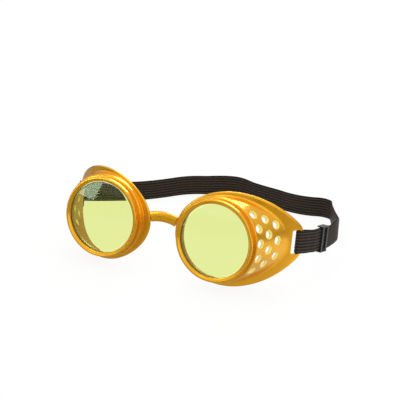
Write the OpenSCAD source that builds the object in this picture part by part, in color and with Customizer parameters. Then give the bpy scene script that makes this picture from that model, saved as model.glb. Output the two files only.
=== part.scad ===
// Round-lens goggles with screwed retaining rings, vented cups and an elastic head strap.
// Millimetres. +Z is up, X runs along the eyes, and the wearer looks towards -Y.
// The goggles stand on the lower edges of both face flanges and on the strap's lower edge.
// Inside the goggles, u runs from a lens axis towards the temple, d runs back from the
// rings' front faces, and w runs up.

/* [Pose] */
// Distance between the two lens axes
lens_spacing = 83; // [76:1:92]
// Backward lean of the goggles, in degrees, where they rest on their flanges
lean = 12; // [4:1:16]

/* [Lens and retaining ring] */
// Diameter of a lens
lens_d = 50; // [46:0.5:52]
// Thickness of a lens
lens_t = 2; // [1.5:0.1:2.4]
// Width of the ring's lip in front of the lens edge
lip_w = 1; // [0.6:0.1:1.6]
// Thickness of the ring's lip
lip_t = 1.4; // [1:0.1:1.8]
// Depth of the ring from front to back
ring_h = 4.5; // [4:0.1:5]
// Wall of the ring round the spigot
ring_wall = 0.8; // [0.7:0.1:1.4]
// Chamfer on the ring's front edges
ring_chamfer = 0.5; // [0.2:0.1:0.7]
// Thickness of the rubber seal behind the lens
seal_t = 0.8; // [0.5:0.1:1.2]
// Radial width of the seal
seal_w = 1.2; // [0.9:0.1:1.6]

/* [Spigot and collar] */
// Wall of the spigot that the ring screws on
spigot_wall = 0.75; // [0.6:0.05:1.2]
// Radial step of the shelf that the seal and the lens sit on
shelf_step = 1.35; // [1:0.05:2]
// Thickness of that shelf
shelf_t = 1.9; // [1.4:0.1:2.4]
// Height of the collar behind the ring
collar_h = 2.5; // [1.8:0.1:3]
// How far the collar stands out past the ring
collar_step = 1.4; // [0.8:0.1:2]
// Gap left between the ring's back edge and the collar
groove_w = 0.4; // [0.3:0.05:0.8]

/* [Cup wall] */
// Thickness of the cup wall
wall_t = 1.8; // [1.4:0.1:2.2]
// Radius of the wall's outside where it leaves the shelf
wall_r = 27.6; // [27:0.1:29]
// Tilt of the wall's axis towards the temple, in degrees
wall_tilt = 10.8; // [8:0.2:13]
// Half-angle of the wall's flare, in degrees
wall_flare = 4.9; // [3:0.1:6]

/* [Face flange] */
// Thickness of the flange plate
flange_t = 1.8; // [1.4:0.1:2.4]
// Radius that the flange is bent to, about an upright axis
face_r = 73; // [68:0.5:80]
// Where the bent plate's front-most line lies, from the lens axis
face_vertex_u = -20.2; // [-22:0.1:-18]
// Depth of that line behind the ring's front
face_vertex_d = 9.4; // [9:0.1:11]
// Radius of the outline's upper and lower arcs
outline_r = 41.5; // [40:0.5:44]
// Where the arcs' centres lie, from the lens axis
outline_u = 5.8; // [5:0.1:7]
// How far each arc's centre lies past the lens axis
outline_w = 10.3; // [9:0.1:11.5]
// Reach of the flange towards the nose
nose_reach = 32.5; // [31.8:0.1:33]
// Radius of the flange's blunt end at the nose
nose_r = 42; // [38:0.5:46]
// Reach of the flange towards the temple
tab_reach = 43.2; // [42.5:0.1:44.5]

/* [Strap slot] */
// Width of the slot, measured along the flange
slot_w = 5.4; // [5:0.1:6]
// Play of the strap at each end of the slot
slot_play = 0.3; // [0.2:0.1:0.8]
// Corner radius of the slot
slot_corner = 1; // [0.5:0.1:1.5]
// Width of the end bar that the strap wraps
end_bar_w = 4.1; // [3.5:0.1:4.6]
// Least width of the plate above and below the slot, at its end bar
slot_side = 1.5; // [1:0.1:3]

/* [Vents] */
// Diameter of a vent's mouth in the outside of the wall
vent_mouth = 6.2; // [4.5:0.1:6.8]
// Diameter of a vent's throat in the inside of the wall
vent_throat = 3.8; // [2:0.1:4.4]
// Vents in the row next to the ring; each row behind it has one less
vent_count = 5; // [3:1:6]
// Rows of vents
vent_rows = 3; // [1:1:3]
// Angle between neighbouring vents of a row, in degrees
vent_pitch = 20; // [17:0.5:22]
// Angle of the middle of the rows above the temple line, in degrees
vent_middle = 5; // [0:1:10]
// Distance of the first row behind the wall's pivot
vent_first = 8; // [7.5:0.1:9]
// Distance between rows
vent_row_gap = 8.5; // [8:0.1:8.8]

/* [Nose bridge] */
// Height of the bridge band
bridge_h = 6.7; // [5:0.1:8]
// Thickness of the bridge band
bridge_t = 2; // [1.4:0.1:3]
// Height of the band's middle line above the lens axes, where it meets the flanges
bridge_w = 5; // [3:0.1:6]
// Rise of the band between the flanges
bridge_rise = 1.3; // [0.6:0.1:3]

/* [Strap] */
// Width of the elastic strap
strap_w = 15; // [12:0.5:16]
// Thickness of the elastic strap
strap_t = 1.1; // [0.8:0.1:1.3]
// Gap between two layers of strap that lie together
layer_gap = 0.2; // [0.2:0.05:0.3]
// Gap between the strap and the end bar it wraps
wrap_gap = 0.3; // [0.2:0.05:0.4]
// Length of the loose tail from the left end bar to the strap's cut end
tail_len = 44; // [32:1:60]
// Length of the end that is turned back and sewn, from the right end bar
sewn_len = 18; // [14:1:26]
// Diameter of a stitch
stitch_d = 0.6; // [0.4:0.1:0.8]
// Stitches in each row of the seam
stitch_count = 6; // [3:1:8]

/* [Slider] */
// Length of the slider along the strap
slider_len = 7.5; // [6.5:0.1:8]
// Height of each end rail of the slider
rail_h = 1; // [0.8:0.1:2]
// Width of the slider's bars along the strap
slider_bar_w = 1.9; // [1.4:0.1:2.2]
// Thickness of the slider's bars
slider_bar_t = 1; // [0.8:0.1:1.6]
// Play between the slider and the strap
slider_play = 0.2; // [0.15:0.05:0.4]
// Distance of the slider behind the left end bar
slider_at = 19; // [18.6:0.1:19.4]

/* [Hidden] */
$fn = 96;

gold = [0.87, 0.64, 0.22];
lens_tint = [0.86, 0.92, 0.55, 0.6];
rubber = [0.12, 0.12, 0.12];
webbing = [0.2, 0.17, 0.14];
slider_black = [0.08, 0.08, 0.08];
// Anything longer than the goggles, for cutting
beyond = 120;
// Overshoot of a cut past the face it opens, and of a vent's cone, which passes near the flange
over = 1;
vent_over = 0.3;

// Ring, lens and spigot
lens_r = lens_d / 2;
aperture_r = lens_r - lip_w;
// Axial play of the lens under the ring's lip
lens_play = 0.1;
lens_front = lip_t + lens_play;
seal_front = lens_front + lens_t;
// Axial play of the seal against its shelf
seal_play = 0.05;
shelf_front = seal_front + seal_t + seal_play;
// Radial play of the lens in the spigot
lens_fit = 0.15;
spigot_bore_r = lens_r + lens_fit;
spigot_r = spigot_bore_r + spigot_wall;
// Gap between the spigot's front edge and the ring's lip
spigot_play = 0.2;
spigot_front = lip_t + spigot_play;
// Running fit of the ring round the spigot
thread_fit = 0.1;
ring_bore_r = spigot_r + thread_fit;
ring_r = ring_bore_r + ring_wall;
collar_front = ring_h + groove_w;
collar_r = ring_r + collar_step;
collar_chamfer = 0.4;
shelf_bore_r = spigot_bore_r - shelf_step;
shelf_back = shelf_front + shelf_t;

// The wall's axis pivots where it crosses the lens axis, inside the shelf
pivot_inset = 0.25;
wall_pivot_d = shelf_back - pivot_inset;
wall_start = -10;
wall_end = 45;
// How far the spigot runs on into the wall behind the shelf
spigot_run_on = 0.3;

// Bent flange plate
face_axis_d = face_vertex_d + face_r;
function face_depth(u, r = face_r) = face_axis_d - sqrt(r * r - pow(u - face_vertex_u, 2));
function arc_angle(length) = length / face_r * 180 / PI;
tip_angle = asin((tab_reach - face_vertex_u) / face_r);
slot_far_angle = tip_angle - arc_angle(end_bar_w);
slot_angle = slot_far_angle - arc_angle(slot_w) / 2;
slot_h = strap_w + 2 * slot_play;
// A disc of plate round the slot, which keeps the end bar's sides when the arcs are changed
tab_back = 6;
tab_u = face_vertex_u + face_r * sin(slot_far_angle) - tab_back;
tab_r = sqrt(tab_back * tab_back + pow(slot_h / 2 + slot_side, 2));

// Resting height: the flange's lower arc, at its rear face, touches the table
function outline_low(u) = outline_w - sqrt(outline_r * outline_r - pow(u - outline_u, 2));
function tipped(p) = [p.x, p.y * cos(lean) + p.z * sin(lean), p.z * cos(lean) - p.y * sin(lean)];
low_places = [-20:0.25:35];
flange_lows = [for (u = low_places)
    tipped([0, face_depth(u, face_r - flange_t / 2), outline_low(u)]).z];
rest_height = -min(flange_lows);

// Strap path. Points lie in the tipped goggles' frame, before they are set on the table.
// The left end bar's slot edge, middle and tip, and the directions along and off the plate
function bar_point(angle, side) =
    tipped([side * (lens_spacing / 2 + face_vertex_u + face_r * sin(angle)),
        face_axis_d - face_r * cos(angle), 0]);
bar_mid_angle = (tip_angle + slot_far_angle) / 2;
bar = bar_point(bar_mid_angle, 1);
function bar_along(side) = tipped([side * cos(bar_mid_angle), sin(bar_mid_angle), 0]);
function bar_off(side) = tipped([side * sin(bar_mid_angle), -cos(bar_mid_angle), 0]);
// Height of the strap's middle line where its edge lies on the table
flat_z = strap_w / 2 - rest_height;
function drop_z(fraction) = bar.z + fraction * (flat_z - bar.z);

// The straight run that carries the slider: its start behind the left bar, and its course
// for each millimetre back, as [outwards, back, fraction of the drop to the table]
run_start = [5.3, 8.5, 0.107];
run_course = [0.17, 1, 0.0126];
run_marks = [0, 3, 10.5, 18, 21];
// Hand-chosen points of the strap: behind the left bar, across the back, and behind the
// right bar. Each is [x, y, fraction of the drop], from the bar, or from the midpoint.
left_points = [[9.6, 38.5, 0.44], [7.8, 47.5, 0.53], [3, 57.5, 0.65], [-2.7, 68.5, 0.79],
    [-8.2, 79.5, 0.92], [-12.2, 87.5, 0.99], [-15, 92.8, 1], [-22, 94.6, 1]];
back_points = [[53, 92.5, 1], [45, 91.6, 1], [36, 92.2, 1], [26, 94.4, 1], [15, 96.3, 1],
    [5, 98.6, 1], [-2, 101.5, 1], [-9, 103.1, 1], [-16, 102.2, 1], [-24, 98.9, 1],
    [-32, 94.2, 1], [-40, 90.4, 1], [-48, 84.6, 1]];
right_points = [[-26, 74.2, 1], [-18, 66, 0.99], [-10, 57.2, 0.94], [-2.4, 48.3, 0.83],
    [4.3, 39.5, 0.71], [9.4, 31, 0.57], [12.2, 22.5, 0.4], [10.8, 15, 0.24], [5.3, 8.5, 0.107]];

function left_place(p) = [bar.x + p.x, bar.y + p.y, drop_z(p.z)];
function back_place(p) = [p.x, bar.y + p.y, drop_z(p.z)];
function right_place(p) = [-bar.x - p.x, bar.y + p.y, drop_z(p.z)];
strap_knots = concat(
    [bar_point(slot_far_angle, 1), bar, bar_point(tip_angle, 1)],
    [for (m = run_marks) left_place(run_start + m * run_course)],
    [for (p = left_points) left_place(p)],
    [for (p = back_points) back_place(p)],
    [for (p = right_points) right_place(p)],
    [bar_point(tip_angle, -1), bar_point(bar_mid_angle, -1), bar_point(slot_far_angle, -1)]);

// A smooth curve through points a, b, c, d, between b and c
function smooth(a, b, c, d, t) = 0.5 * (2 * b + (c - a) * t
    + (2 * a - 5 * b + 4 * c - d) * t * t + (3 * b - a - 3 * c + d) * t * t * t);
function pick(points, i) = points[max(0, min(len(points) - 1, i))];
function not_below(p, z) = [p.x, p.y, max(p.z, z)];
knot_steps = 3;
strap_middle = [for (i = [0:len(strap_knots) - 2], j = [0:knot_steps - 1])
    not_below(smooth(pick(strap_knots, i - 1), strap_knots[i], strap_knots[i + 1],
        pick(strap_knots, i + 2), j / knot_steps), flat_z), bar_point(slot_far_angle, -1)];
strap_last = len(strap_middle) - 1;
function run_lengths(points) = [for (i = 0, s = 0; i < len(points);
    s = s + (i + 1 < len(points) ? norm(points[i + 1] - points[i]) : 0), i = i + 1) s];
from_left = run_lengths(strap_middle);
strap_loop_len = from_left[strap_last];
from_right = [for (s = from_left) strap_loop_len - s];

// The strap's width keeps the goggles' lean near the bars and stands upright on the table
function ease(t) = let (c = max(0, min(1, t))) c * c * (3 - 2 * c);
lean_keeps = 34;
lean_fades = 40;
function strap_lean(s) = lean * (1 - ease((s - lean_keeps) / lean_fades));
function unit(v) = v / norm(v);
function squared(v, t) = unit(v - (v * t) * t);
function leaning(s) = [0, sin(strap_lean(s)), cos(strap_lean(s))];
function heading(points, i) = unit(pick(points, i + 1) - pick(points, i - 1));
function outwards(i) = unit(cross(heading(strap_middle, i),
    leaning(min(from_left[i], from_right[i]))));

// Distance of each layer from the middle line: wide round the bar, close together behind it
layer_off = (strap_t + layer_gap) / 2;
bar_layer_off = flange_t / 2 + wrap_gap + strap_t / 2;
merge_len = 7;
part_len = 12;
function layer_at(s) = bar_layer_off
    + (layer_off - bar_layer_off) * ease((s - end_bar_w) / merge_len);
function single_at(s, end) = 1 - ease((s - end) / part_len);
function main_off(i) = layer_at(from_right[i]) * single_at(from_right[i], sewn_len)
    - layer_at(from_left[i]) * single_at(from_left[i], tail_len);

wrap_steps = 8;
function wrap(side) = [for (j = [1:wrap_steps - 1]) let (a = 180 * j / wrap_steps)
    [bar_point(slot_far_angle, side)
        + bar_layer_off * (cos(a) * bar_off(side) - sin(a) * bar_along(side)), lean]];
// The whole strap as [point, lean]: loose tail, left bar, round the head, right bar, sewn end
strap_path = concat(
    [for (i = [strap_last:-1:0]) if (from_left[i] <= tail_len)
        [strap_middle[i] + layer_at(from_left[i]) * outwards(i), strap_lean(from_left[i])]],
    wrap(1),
    [for (i = [0:strap_last]) [strap_middle[i] + main_off(i) * outwards(i),
        strap_lean(min(from_left[i], from_right[i]))]],
    wrap(-1),
    [for (i = [strap_last:-1:0]) if (from_right[i] <= sewn_len)
        [strap_middle[i] - layer_at(from_right[i]) * outwards(i), strap_lean(from_right[i])]]);
strap_line = [for (p = strap_path) p[0]];

// The part's middle from front to back: foremost edge of the rings to rearmost strap
front_y = tipped([0, ring_chamfer, -ring_r]).y;
back_y = max([for (p = strap_line) p.y]) + strap_t / 2;
middle_y = (front_y + back_y) / 2;

// Slider, in its own frame: x along the strap, y outwards, z across the strap
slider_side = [for (k = [0.5, 1]) left_place(run_start + k * run_marks[4] * run_course)];
run_dir = unit(slider_side[1] - slider_side[0]);
run_across = squared(leaning(0), run_dir);
run_out = cross(run_dir, run_across);
run_turn = atan2(run_dir.y, run_dir.x);
run_pitch = asin(run_dir.z);
level_out = [sin(run_turn), -cos(run_turn), 0];
run_roll = atan2(run_across * level_out, sqrt(1 - pow(run_across * level_out, 2)));
slider_centre = left_place(run_start + (slider_at - run_start.y) / run_course.y * run_course);
slider_slot_h = strap_w + 2 * slot_play;
slider_inner = strap_t + layer_gap / 2 + slider_play;
slider_depth = 2 * (slider_inner + slider_bar_t);
slider_h = slider_slot_h + 2 * rail_h;

// Moves from the part's frame to the frames that the pieces are drawn in
module on_table() translate([0, -middle_y, rest_height]) children();
module goggles_pose() on_table() rotate([-lean, 0, 0]) children();
module left_side() goggles_pose() translate([lens_spacing / 2, 0, 0]) children();
module right_side() goggles_pose() mirror([1, 0, 0]) translate([lens_spacing / 2, 0, 0]) children();
// Turns a shape drawn upwards from the table so that it runs back from the ring's front
module backwards() rotate([-90, 0, 0]) children();
module cup_axis() translate([0, wall_pivot_d, 0]) rotate([0, 0, -wall_tilt]) children();
module behind(depth) {
    intersection() {
        children();
        translate([-beyond / 2, depth, -beyond / 2]) cube(beyond);
    }
}

// Outline of the face flange, seen from the front: two equal arcs, a blunt nose end and a
// straight temple end, with plate round the slot
module face_outline() {
    intersection() {
        union() {
            intersection() {
                translate([outline_u, -outline_w]) circle(r = outline_r);
                translate([outline_u, outline_w]) circle(r = outline_r);
            }
            translate([tab_u, 0]) circle(r = tab_r);
        }
        translate([nose_r - nose_reach, 0]) circle(r = nose_r);
        translate([tab_reach - beyond, -beyond / 2]) square(beyond);
    }
}

module face_prism() {
    translate([0, face_axis_d, 0]) rotate([90, 0, 0]) linear_extrude(face_axis_d) face_outline();
}

module face_cylinder(r) {
    translate([face_vertex_u, face_axis_d, 0]) cylinder(r = r, h = beyond, center = true);
}

module flange() {
    intersection() {
        face_prism();
        face_cylinder(face_r + flange_t / 2);
    }
}

module rounded_slot(width, height, r) {
    square([width - 2 * r, height], center = true);
    square([width, height - 2 * r], center = true);
    for (x = [-1, 1], y = [-1, 1])
        translate([x * (width / 2 - r), y * (height / 2 - r)]) circle(r = r);
}

// Cut square through the bent plate, between the cup and the end bar
module strap_slot() {
    translate([face_vertex_u, face_axis_d, 0]) rotate([0, 0, slot_angle])
        translate([0, -face_r + 2 * flange_t, 0]) rotate([90, 0, 0])
        linear_extrude(4 * flange_t) rounded_slot(slot_w, slot_h, slot_corner);
}

// A vent is a cone square to the wall, at a distance behind the pivot and an angle round it
module vent(back, angle) {
    slope = (vent_mouth - vent_throat) / 2 / wall_t;
    rotate([0, -angle, 0]) translate([wall_r + back * tan(wall_flare), back, 0])
        rotate([0, 0, -wall_flare]) translate([-wall_t - vent_over, 0, 0]) rotate([0, 90, 0])
        cylinder(r1 = vent_throat / 2 - vent_over * slope, r2 = vent_mouth / 2 + vent_over * slope,
            h = wall_t + 2 * vent_over);
}

module vents() {
    for (row = [0:vent_rows - 1]) {
        count = vent_count - row;
        for (i = [0:count - 1])
            vent(vent_first + row * vent_row_gap, vent_middle + (i - (count - 1) / 2) * vent_pitch);
    }
}

// Cone of the cup wall, its surface moved inwards by the given amount
module wall_cone(inwards) {
    cup_axis() translate([0, wall_start, 0]) backwards()
        cylinder(r1 = wall_r - inwards + wall_start * tan(wall_flare),
            r2 = wall_r - inwards + wall_end * tan(wall_flare), h = wall_end - wall_start);
}

// Collar behind the ring, chamfered at both edges
module collar() {
    backwards() rotate_extrude() polygon([
        [spigot_bore_r, collar_front], [collar_r - collar_chamfer, collar_front],
        [collar_r, collar_front + collar_chamfer],
        [collar_r, collar_front + collar_h - collar_chamfer],
        [collar_r - collar_chamfer, collar_front + collar_h],
        [spigot_bore_r, collar_front + collar_h]]);
}

module spigot() {
    translate([0, spigot_front, 0]) backwards()
        cylinder(r = spigot_r, h = shelf_back + spigot_run_on - spigot_front);
}

module eyecup() {
    difference() {
        union() {
            spigot();
            collar();
            behind(collar_front) wall_cone(0);
            flange();
        }
        backwards() cylinder(r = spigot_bore_r, h = shelf_front);
        backwards() cylinder(r = shelf_bore_r, h = shelf_back + over);
        behind(shelf_back) wall_cone(wall_t);
        face_cylinder(face_r - flange_t / 2);
        strap_slot();
        cup_axis() vents();
    }
}

module retaining_ring() {
    backwards() rotate_extrude() polygon([
        [aperture_r + ring_chamfer, 0], [ring_r - ring_chamfer, 0], [ring_r, ring_chamfer],
        [ring_r, ring_h], [ring_bore_r, ring_h], [ring_bore_r, lip_t], [aperture_r, lip_t],
        [aperture_r, ring_chamfer]]);
}

module lens() {
    translate([0, lens_front, 0]) backwards() cylinder(r = lens_r, h = lens_t);
}

module lens_seal() {
    translate([0, seal_front, 0]) backwards() difference() {
        cylinder(r = lens_r, h = seal_t);
        translate([0, 0, -over]) cylinder(r = lens_r - seal_w, h = seal_t + 2 * over);
    }
}

// Left and right pieces
module left_eyecup() color(gold) left_side() eyecup();
module right_eyecup() color(gold) right_side() eyecup();
module left_retaining_ring() color(gold) left_side() retaining_ring();
module right_retaining_ring() color(gold) right_side() retaining_ring();
module left_lens() color(lens_tint) left_side() lens();
module right_lens() color(lens_tint) right_side() lens();
module left_lens_seal() color(rubber) left_side() lens_seal();
module right_lens_seal() color(rubber) right_side() lens_seal();

// Arched band whose ends are cut to the flanges' outlines, so that they meet face to face
module nose_bridge() {
    half_gap = lens_spacing / 2 - nose_reach;
    arch_r = (half_gap * half_gap + bridge_rise * bridge_rise) / (2 * bridge_rise);
    arch_w = bridge_w + bridge_rise - arch_r;
    middle_d = face_depth(-nose_reach);
    color(gold) goggles_pose() difference() {
        intersection() {
            translate([0, middle_d + bridge_t / 2, arch_w]) rotate([90, 0, 0])
                cylinder(r = arch_r + bridge_h / 2, h = bridge_t);
            translate([-lens_spacing / 4, 0, bridge_w - bridge_h])
                cube([lens_spacing / 2, beyond, beyond]);
        }
        translate([0, middle_d + bridge_t, arch_w]) rotate([90, 0, 0])
            cylinder(r = arch_r - bridge_h / 2, h = 2 * bridge_t);
        for (side = [0, 1]) mirror([side, 0, 0]) translate([lens_spacing / 2, 0, 0]) face_prism();
    }
}

// A flat band swept along a path: each ring has four corners, and both ends are closed
module band(path, width, thickness) {
    line = [for (p = path) p[0]];
    last = len(path) - 1;
    corners = [for (i = [0:last]) let (
            t = heading(line, i),
            across = squared([0, sin(path[i][1]), cos(path[i][1])], t) * width / 2,
            off = unit(cross(t, across)) * thickness / 2)
        each [line[i] + across + off, line[i] - across + off,
            line[i] - across - off, line[i] + across - off]];
    sides = [for (i = [0:last - 1], k = [0:3]) let (a = 4 * i + k, b = 4 * i + (k + 1) % 4)
        each [[a, b, a + 4], [b, b + 4, a + 4]]];
    ends = [[0, 2, 1], [0, 3, 2], [4 * last, 4 * last + 1, 4 * last + 2],
        [4 * last, 4 * last + 2, 4 * last + 3]];
    polyhedron(points = corners, faces = concat(sides, ends));
}

module head_strap() color(webbing) on_table() band(strap_path, strap_w, strap_t);

// Place on the slider's run, or anywhere along a line with the same turn, pitch and roll
module along(place, turn, pitch, roll) translate(place) rotate([roll, -pitch, turn]) children();

module strap_slider() {
    color(slider_black) on_table() along(slider_centre, run_turn, run_pitch, run_roll) {
        for (end = [-1, 1]) {
            translate([0, 0, end * (slider_slot_h + rail_h) / 2])
                cube([slider_len, slider_depth, rail_h], center = true);
            translate([end * (slider_len - slider_bar_w) / 2, -slider_inner - slider_bar_t / 2, 0])
                cube([slider_bar_w, slider_bar_t, slider_h], center = true);
        }
        translate([0, slider_inner + slider_bar_t / 2, 0])
            cube([slider_bar_w, slider_bar_t, slider_h], center = true);
    }
}

// Two rows of stitches through both layers of the sewn end
stitch_rows = [11, 15];
stitch_proud = 0.15;
module strap_stitching() {
    length = 2 * (layer_off + strap_t / 2 + stitch_proud);
    pitch = strap_w / (stitch_count + 1);
    color(webbing) on_table() for (row = stitch_rows) {
        i = max([for (k = [0:strap_last]) if (from_right[k] >= row) k]);
        t = heading(strap_middle, i);
        across = squared(leaning(row), t);
        off = cross(t, across);
        for (j = [1:stitch_count])
            translate(strap_middle[i] + (j * pitch - strap_w / 2) * across)
            rotate([0, acos(off.z), atan2(off.y, off.x)])
            cylinder(d = stitch_d, h = length, center = true);
    }
}

left_eyecup();
right_eyecup();
nose_bridge();
left_retaining_ring();
right_retaining_ring();
left_lens();
right_lens();
left_lens_seal();
right_lens_seal();
head_strap();
strap_slider();
strap_stitching();
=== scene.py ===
import math
import bpy
import numpy as np
from mathutils import Matrix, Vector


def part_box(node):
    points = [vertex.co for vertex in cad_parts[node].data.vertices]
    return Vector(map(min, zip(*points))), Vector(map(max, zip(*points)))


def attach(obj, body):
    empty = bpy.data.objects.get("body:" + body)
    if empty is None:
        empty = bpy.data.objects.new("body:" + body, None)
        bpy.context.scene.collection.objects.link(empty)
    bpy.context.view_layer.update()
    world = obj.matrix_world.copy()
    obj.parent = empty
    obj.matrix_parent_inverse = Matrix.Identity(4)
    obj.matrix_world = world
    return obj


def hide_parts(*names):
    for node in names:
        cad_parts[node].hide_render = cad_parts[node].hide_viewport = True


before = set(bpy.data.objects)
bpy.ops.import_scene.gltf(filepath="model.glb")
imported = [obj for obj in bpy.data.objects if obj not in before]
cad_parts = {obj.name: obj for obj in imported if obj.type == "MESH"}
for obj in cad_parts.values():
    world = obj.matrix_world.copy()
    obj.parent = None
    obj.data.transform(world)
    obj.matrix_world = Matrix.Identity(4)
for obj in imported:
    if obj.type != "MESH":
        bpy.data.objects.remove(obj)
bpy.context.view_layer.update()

MM = 0.001

# Camera
# The photograph's view: a long lens to the right of the goggles, a little above them.
# Its place was found from the two lens openings, which are circles of a known size.
camera_azimuth = math.radians(27.04)
camera_elevation = math.radians(23.33)
camera_place = np.array([345.55, -684.73, 357.85]) * MM
focal_in_frame_widths = 3.0
sensor_width = 36.0

camera_data = bpy.data.cameras.new("photo_camera")
camera_data.sensor_fit = "HORIZONTAL"
camera_data.sensor_width = sensor_width
camera_data.lens = focal_in_frame_widths * sensor_width
camera_data.clip_end = 20.0
camera = bpy.data.objects.new("photo_camera", camera_data)
bpy.context.scene.collection.objects.link(camera)
towards_camera = np.array([
    math.sin(camera_azimuth) * math.cos(camera_elevation),
    -math.cos(camera_azimuth) * math.cos(camera_elevation),
    math.sin(camera_elevation)])
camera_right = np.array([math.cos(camera_azimuth), math.sin(camera_azimuth), 0.0])
camera_up = np.cross(towards_camera, camera_right)
turn = Matrix([[camera_right[i], camera_up[i], towards_camera[i], camera_place[i]]
               for i in range(3)] + [[0, 0, 0, 1]])
camera.matrix_world = turn
bpy.context.scene.camera = camera

# Lenses
# Two clear plastic discs with a faint yellow-green cast, loose under the retaining rings.
# Everything of the goggles is placed from them: u runs from the lens axis to the temple,
# d back from the rings' fronts and w up, in millimetres, and the goggles lean back.
lean = math.radians(12.0)
lens_radius = 25.0
lens_front = 1.5
lens_thickness = 2.0
lens_edge = 0.25
lens_rings = 11
lens_segments = 160
lens_low, lens_high = (np.array(c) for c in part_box("left_lens"))
goggles_back = np.array([0.0, math.cos(lean), -math.sin(lean)])
goggles_up = np.array([0.0, math.sin(lean), math.cos(lean)])
lens_middle = (lens_low + lens_high) / 2
cup_origin = lens_middle - (lens_front + lens_thickness / 2) * MM * goggles_back
lens_spacing = 2 * cup_origin[0] / MM


def to_frame(points, side):
    """Cup points (u, d, w) in mm to the frame in metres: u goes outwards on that side, and
    d and w follow the lean of the goggles. side is 1 on the wearer's left and -1 right."""
    points = np.asarray(points, float)
    x = side * (points[..., 0] * MM + cup_origin[0])
    origin = np.array([0.0, cup_origin[1], cup_origin[2]])
    placed = (origin + points[..., 1:2] * MM * goggles_back
              + points[..., 2:3] * MM * goggles_up)
    placed[..., 0] = x
    return placed


def add_piece(name, points, faces, material, normals=None, smooth=True):
    """A mesh object at the origin, from points in metres and one array of faces for each
    number of corners."""
    mesh = bpy.data.meshes.new(name)
    mesh.vertices.add(len(points))
    mesh.vertices.foreach_set("co", np.asarray(points, np.float32).ravel())
    sizes = np.concatenate([np.full(len(f), f.shape[1], np.int32) for f in faces])
    corners = np.concatenate([f.ravel() for f in faces]).astype(np.int32)
    mesh.loops.add(len(corners))
    mesh.loops.foreach_set("vertex_index", corners)
    mesh.polygons.add(len(sizes))
    mesh.polygons.foreach_set("loop_start", np.concatenate([[0], np.cumsum(sizes)[:-1]])
                              .astype(np.int32))
    mesh.polygons.foreach_set("use_smooth", np.full(len(sizes), smooth))
    mesh.update(calc_edges=True)
    mesh.validate()
    if normals is not None:
        mesh.normals_split_custom_set_from_vertices(normals)
    mesh.materials.append(material)
    piece = bpy.data.objects.new(name, mesh)
    bpy.context.scene.collection.objects.link(piece)
    return piece


def rounded(corners, radius, steps=5):
    """A closed outline with each corner turned into an arc: the arc starts and ends one
    tangent length from the corner, and its middle points are blended quadratically."""
    corners = np.asarray(corners, float)
    before = np.roll(corners, 1, 0) - corners
    after = np.roll(corners, -1, 0) - corners
    reach = np.minimum(radius, 0.45 * np.minimum(np.linalg.norm(before, axis=1),
                                                 np.linalg.norm(after, axis=1)))
    start = corners + before / np.linalg.norm(before, axis=1)[:, None] * reach[:, None]
    end = corners + after / np.linalg.norm(after, axis=1)[:, None] * reach[:, None]
    t = np.linspace(0, 1, steps)[None, :, None]
    arcs = ((1 - t) ** 2 * start[:, None] + 2 * t * (1 - t) * corners[:, None]
            + t ** 2 * end[:, None])
    return arcs.reshape(-1, 2)


def ring_faces(rows, columns):
    """Quads of a grid of rows by columns that closes on itself both ways."""
    i, j = np.meshgrid(np.arange(rows), np.arange(columns), indexing="ij")
    a, b = i * columns + j, i * columns + (j + 1) % columns
    c, d = ((i + 1) % rows) * columns + (j + 1) % columns, ((i + 1) % rows) * columns + j
    return np.stack([a, b, c, d], -1).reshape(-1, 4)


def turned(outline, side, segments=192):
    """A ring turned about the lens axis: the closed outline of (radius, depth) in mm is
    carried round a circle. Its faces point out for an outline that runs anticlockwise."""
    angle = np.linspace(0, 2 * np.pi, segments, endpoint=False)[:, None]
    radius, depth = np.asarray(outline, float).T
    points = np.stack([radius * np.cos(angle), depth + 0 * angle, radius * np.sin(angle)], -1)
    faces = ring_faces(segments, len(outline))
    return to_frame(points.reshape(-1, 3), side), faces if side > 0 else faces[:, ::-1]


def feed(tree, socket, value):
    """Links a node's output to a socket, or sets the socket to a plain value."""
    if isinstance(value, bpy.types.NodeSocket):
        tree.links.new(value, socket)
    else:
        socket.default_value = value


def add_node(tree, kind, **values):
    """A node of that kind, with its settings and its inputs given by name."""
    node = tree.nodes.new(kind)
    for name, value in values.items():
        if hasattr(node, name):
            setattr(node, name, value)
        else:
            feed(tree, node.inputs[name.replace("_", " ")], value)
    return node


def new_material(name, **constants):
    """A node material and its Principled BSDF, whose own sockets take the constants."""
    material = bpy.data.materials.new(name)
    material.use_nodes = True
    shader = material.node_tree.nodes["Principled BSDF"]
    for socket, value in constants.items():
        shader.inputs[socket.replace("_", " ")].default_value = value
    return material, material.node_tree, shader


def remap(tree, value, from_low, from_high, to_low, to_high):
    """A value carried in a straight line from one range to another, and held at its ends."""
    node = add_node(tree, "ShaderNodeMapRange", Value=value, From_Min=from_low,
                    From_Max=from_high, To_Min=to_low, To_Max=to_high)
    return node.outputs["Result"]


lens_cast = (0.80, 0.875, 0.33, 1.0)
clear_lens, tree, shader = new_material(
    "clear_lens", Base_Color=lens_cast, IOR=1.49, Transmission_Weight=1.0)
place = add_node(tree, "ShaderNodeTexCoord")
smudge = add_node(tree, "ShaderNodeTexNoise", Scale=60.0, Detail=3.0,
                  Vector=place.outputs["Object"])
feed(tree, shader.inputs["Roughness"],
     remap(tree, smudge.outputs["Fac"], 0.45, 0.8, 0.0, 0.05))


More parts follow.
